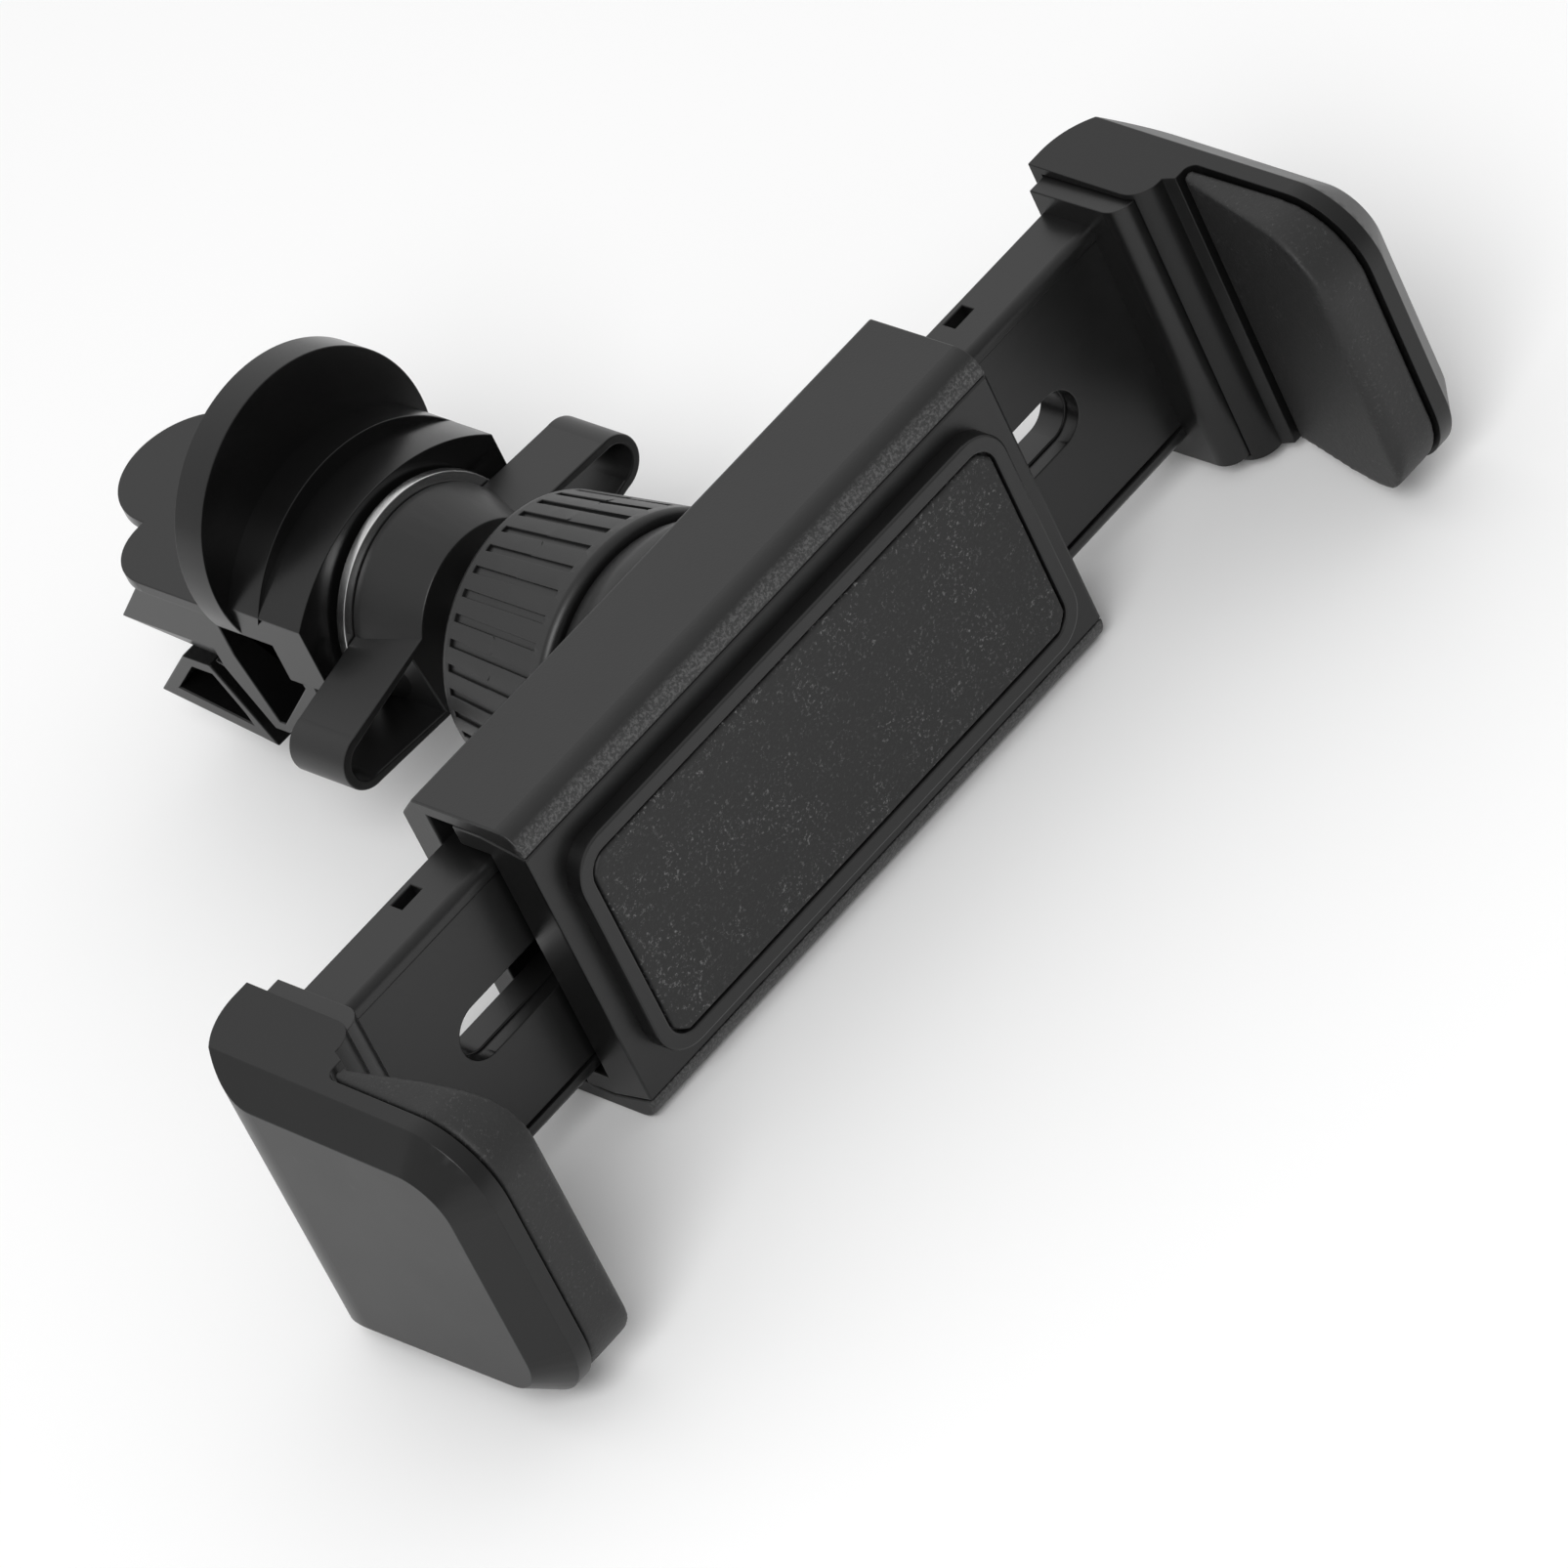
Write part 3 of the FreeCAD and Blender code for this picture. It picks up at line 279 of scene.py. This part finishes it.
# crinkled rubber with pale flecks in its creases
def rubber(name):
    look = rubberLooks[name]
    finish, shader, place = startFinish(name)
    crinkle = noise(place, look["crinkle"], 4, 0.65)
    cells = place.node("ShaderNodeTexVoronoi", {"feature": "DISTANCE_TO_EDGE"},
                       {"Vector": place, "Scale": 1 / rubberMarks["cellSize"]}, "Distance")
    drift = noise(place, rubberMarks["driftSize"], 4, 0.65).step(*rubberMarks["driftStep"])
    flecks = noise(place, rubberMarks["fleckSize"], 3, 0.75).step(*rubberMarks["fleckStep"])
    flecks = flecks * (0.22 + 0.78 * drift)
    creases = 1 - cells.step(*rubberMarks["creaseStep"])
    mask = flecks * (0.45 + 0.35 * creases)
    feed(shader, "Base Color", mask.colours(grey(look["tone"]), grey(look["speck"])))
    feed(shader, "Roughness", look["gloss"] + 0.12 * crinkle)
    feed(shader, "Normal", dent(place, crinkle + 0.5 * flecks, look["depth"]))
    return finish


studPlace = (0, 0, 0.0182)


# steel with fine marks that run across the stud's line
def steel(name, tone, gloss):
    finish, shader, place = startFinish(name)
    spin = place.node("ShaderNodeVectorMath", {"operation": "SUBTRACT"}, {0: place, 1: studPlace})
    rings = noise(stretched(spin, (1, 6, 1)), 0.0003, 2)
    haze = noise(place, 0.002, 4)
    feed(shader, "Base Color", haze.colours(grey(tone * 0.85), grey(tone)))
    feed(shader, "Roughness", gloss + 0.12 * haze)
    shader.inputs["Metallic"].default_value = 1.0
    feed(shader, "Normal", dent(place, rings, 0.000004))
    return finish


# pale nylon of the gear and the friction ring
def nylon():
    finish, shader, place = startFinish("nylon")
    haze = noise(place, 0.003, 3)
    feed(shader, "Base Color", haze.colours((0.60, 0.58, 0.52, 1), (0.70, 0.68, 0.62, 1)))
    feed(shader, "Roughness", 0.40 + 0.1 * haze)
    feed(shader, "Normal", dent(place, noise(place, 0.0003, 2), 0.000006))
    return finish


finishes = {name: plastic(name) for name in plasticLooks if name != "shellBlack"}
finishes["shellBlack"] = shellPlastic()
finishes.update({name: rubber(name) for name in rubberLooks})
finishes["steel"] = steel("steel", 0.80, 0.18)
finishes["darkSteel"] = steel("darkSteel", 0.10, 0.32)
finishes["nylon"] = nylon()
print("finishes made:", len(finishes))


# carried-over solids: finish and edge break in millimetres; 0 where a piece made below replaces the solid
joinGap = 0.000002
cornerAngles = {"flat": math.radians(0.4), "outer": math.radians(32), "inner": math.radians(-18)}
carried = {
    "rear_shell": ("shellBlack", 0.18), "front_cover": ("coverBlack", 0.22),
    "right_arm": ("armBlack", 0.10), "left_arm": ("armBlack", 0.10),
    "right_jaw_shell": ("jawBlack", 0.07), "left_jaw_shell": ("jawBlack", 0.07),
    "lock_ring": ("ringBlack", 0.09), "ball_stud": ("ringBlack", 0.10), "wing_nut": ("ringBlack", 0.16),
    "clip_body": ("clipBlack", 0.10), "lower_jaw": ("clipBlack", 0.14),
    "pinion_gear": ("nylon", 0.05), "friction_ring": ("nylon", 0.30),
    "thrust_washer": ("steel", 0.10), "jaw_pin": ("steel", 0.08), "jaw_spring": ("steel", 0.05),
    "detent_spring": ("steel", 0.05), "cover_screws": ("darkSteel", 0),
    "right_jaw_screws": ("darkSteel", 0), "left_jaw_screws": ("darkSteel", 0),
    "front_pad": ("frontRubber", 0), "right_jaw_pad": ("jawRubber", 0), "left_jaw_pad": ("jawRubber", 0),
}


# marks the outer corners of a solid, so that only they are broken, and keeps its inner corners crisp
def markCorners():
    marks = bpy.data.node_groups.new("outerCorners", "GeometryNodeTree")
    for way in ("INPUT", "OUTPUT"):
        marks.interface.new_socket("Geometry", in_out=way, socket_type="NodeSocketGeometry")
    start = Wire(marks)
    solid = start.node("NodeGroupInput")
    turn = start.node("GeometryNodeInputMeshEdgeAngle", out="Signed Angle")
    outer = start.node("FunctionNodeCompare", {"operation": "GREATER_THAN"},
                       {0: turn, 1: cornerAngles["outer"]})
    inner = start.node("FunctionNodeCompare", {"operation": "LESS_THAN"},
                       {0: turn, 1: cornerAngles["inner"]})
    broken = start.node("GeometryNodeStoreNamedAttribute", {"data_type": "FLOAT", "domain": "EDGE"},
                        {"Geometry": solid, "Name": "bevel_weight_edge", "Value": outer})
    crisp = start.node("GeometryNodeStoreNamedAttribute", {"data_type": "BOOLEAN", "domain": "EDGE"},
                       {"Geometry": broken, "Name": "sharp_edge", "Value": inner})
    start.node("NodeGroupOutput", {}, {0: crisp}, None)
    return marks


outerCorners = markCorners()


def dress(name):
    finish, broken = carried[name]
    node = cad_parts[name]
    node.data.materials.clear()
    node.data.materials.append(finishes[finish])
    if not broken:
        return
    weld = node.modifiers.new("join", "WELD")
    weld.merge_threshold = joinGap
    flat = node.modifiers.new("flats", "DECIMATE")
    flat.decimate_type, flat.angle_limit = "DISSOLVE", cornerAngles["flat"]
    node.modifiers.new("corners", "NODES").node_group = outerCorners
    edge = node.modifiers.new("brokenEdge", "BEVEL")
    edge.width, edge.segments, edge.limit_method = broken / 1000, 2, "WEIGHT"
    edge.use_clamp_overlap = False
    even = node.modifiers.new("evenShade", "WEIGHTED_NORMAL")
    even.mode, even.weight, even.keep_sharp = "FACE_AREA_WITH_ANGLE", 60, True


for nodeName in carried:
    dress(nodeName)
print("solids dressed:", len(carried))


# rubber pads, grown from the space their solids hold
padMakes = {
    "front_pad": {"piece": "frontRubber", "body": "housing", "voxel": 0.00030, "rounds": 5,
                  "crown": 0.00010},
    "right_jaw_pad": {"piece": "rightJawRubber", "body": "right_slide", "voxel": 0.00028, "rounds": 9,
                      "crown": 0},
    "left_jaw_pad": {"piece": "leftJawRubber", "body": "left_slide", "voxel": 0.00028, "rounds": 9,
                     "crown": 0},
}


def makePad(name):
    make = padMakes[name]
    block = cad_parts[name].data.copy()
    pad = bpy.data.objects.new(make["piece"], block)
    scene.collection.objects.link(pad)
    weld = pad.modifiers.new("join", "WELD")
    weld.merge_threshold = joinGap
    grow = pad.modifiers.new("grow", "REMESH")
    grow.mode, grow.voxel_size, grow.use_smooth_shade = "VOXEL", make["voxel"], True
    ease = pad.modifiers.new("ease", "SMOOTH")
    ease.factor, ease.iterations = 0.5, make["rounds"]
    bpy.context.view_layer.update()
    eased = bpy.data.meshes.new_from_object(pad.evaluated_get(bpy.context.evaluated_depsgraph_get()))
    pad.modifiers.clear()
    pad.data = eased
    eased.name = make["piece"]
    low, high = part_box(name)
    if make["crown"]:
        for point in eased.vertices:
            across = (point.co.x - (low.x + high.x) / 2) / (high.x - low.x) * 2
            up = (point.co.z - (low.z + high.z) / 2) / (high.z - low.z) * 2
            front = (high.y - point.co.y) / (high.y - low.y)
            point.co.y -= make["crown"] * max(0, 1 - across ** 4) * max(0, 1 - up ** 4) * front
    for face in eased.polygons:
        face.use_smooth = True
    eased.materials.clear()
    eased.materials.append(finishes[carried[name][0]])
    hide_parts(name)
    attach(pad, make["body"])
    print("pad made:", make["piece"], len(eased.polygons), "faces")


for nodeName in padMakes:
    makePad(nodeName)

# screws with a cross recess, in the places of their plain solids; sizes in millimetres
screwMakes = {
    "cover_screws": {"piece": "coverScrewSet", "body": "housing", "head": 2.3, "tall": 1.5, "shank": 1.2},
    "right_jaw_screws": {"piece": "rightJawScrewSet", "body": "right_slide", "head": 1.2, "tall": 0.6,
                         "shank": 0.7},
    "left_jaw_screws": {"piece": "leftJawScrewSet", "body": "left_slide", "head": 1.2, "tall": 0.6,
                        "shank": 0.7},
}
crossShape = ((5, -1), (5, 1), (1, 1), (1, 5), (-1, 5), (-1, 1),
              (-5, 1), (-5, -1), (-1, -1), (-1, -5), (1, -5), (1, -1))


def closeRing(work, points):
    ring = [work.verts.new(point) for point in points]
    return ring, [work.edges.new((ring[i - 1], ring[i])) for i in range(len(ring))]


def addSides(work, first, second):
    for i in range(len(first)):
        work.faces.new((first[i - 1], first[i], second[i], second[i - 1]))


# one screw along Y, its head's face at spot and its end at the given place
def addScrew(work, spot, end, make):
    head, tall, shank = (make[key] / 1000 for key in ("head", "tall", "shank"))
    edge, sides = head * 0.12, 36
    turns = [2 * math.pi * k / sides for k in range(sides)]
    rows = [(head - edge, 0), (head - edge * 0.3, edge * 0.3), (head, edge), (head, tall), (shank, tall),
            (shank, spot.y - end - shank), (shank * 0.4, spot.y - end)]
    rings = []
    for radius, drop in rows:
        rings.append(closeRing(work, [
            (spot.x + radius * math.cos(turn), spot.y - drop, spot.z + radius * math.sin(turn))
            for turn in turns]))
    for (first, _), (second, _) in zip(rings, rings[1:]):
        addSides(work, first, second)
    work.faces.new(rings[-1][0])
    mouth, floor = [
        closeRing(work, [(spot.x + x * size, spot.y - drop, spot.z + z * size) for x, z in crossShape])
        for size, drop in ((head * 0.125, 0), (head * 0.10, tall * 0.6))]
    addSides(work, mouth[0], floor[0])
    work.faces.new(floor[0])
    bmesh.ops.triangle_fill(work, use_beauty=True, edges=rings[0][1] + mouth[1])


def makeScrews(name):
    make = screwMakes[name]
    low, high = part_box(name)
    reach = make["head"] / 1000
    near, far = low + Vector((reach, 0, reach)), high - Vector((reach, 0, reach))
    work = bmesh.new()
    for spot in (Vector((near.x, high.y, near.z)), Vector((far.x, high.y, far.z))):
        addScrew(work, spot, low.y, make)
    bmesh.ops.recalc_face_normals(work, faces=work.faces)
    mesh = bpy.data.meshes.new(make["piece"])
    work.to_mesh(mesh)
    work.free()
    for face in mesh.polygons:
        face.use_smooth = True
    mesh.set_sharp_from_angle(angle=math.radians(30))
    mesh.materials.append(finishes["darkSteel"])
    screws = bpy.data.objects.new(make["piece"], mesh)
    scene.collection.objects.link(screws)
    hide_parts(name)
    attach(screws, make["body"])
    print("screws made:", make["piece"], len(mesh.polygons), "faces")


for nodeName in screwMakes:
    makeScrews(nodeName)
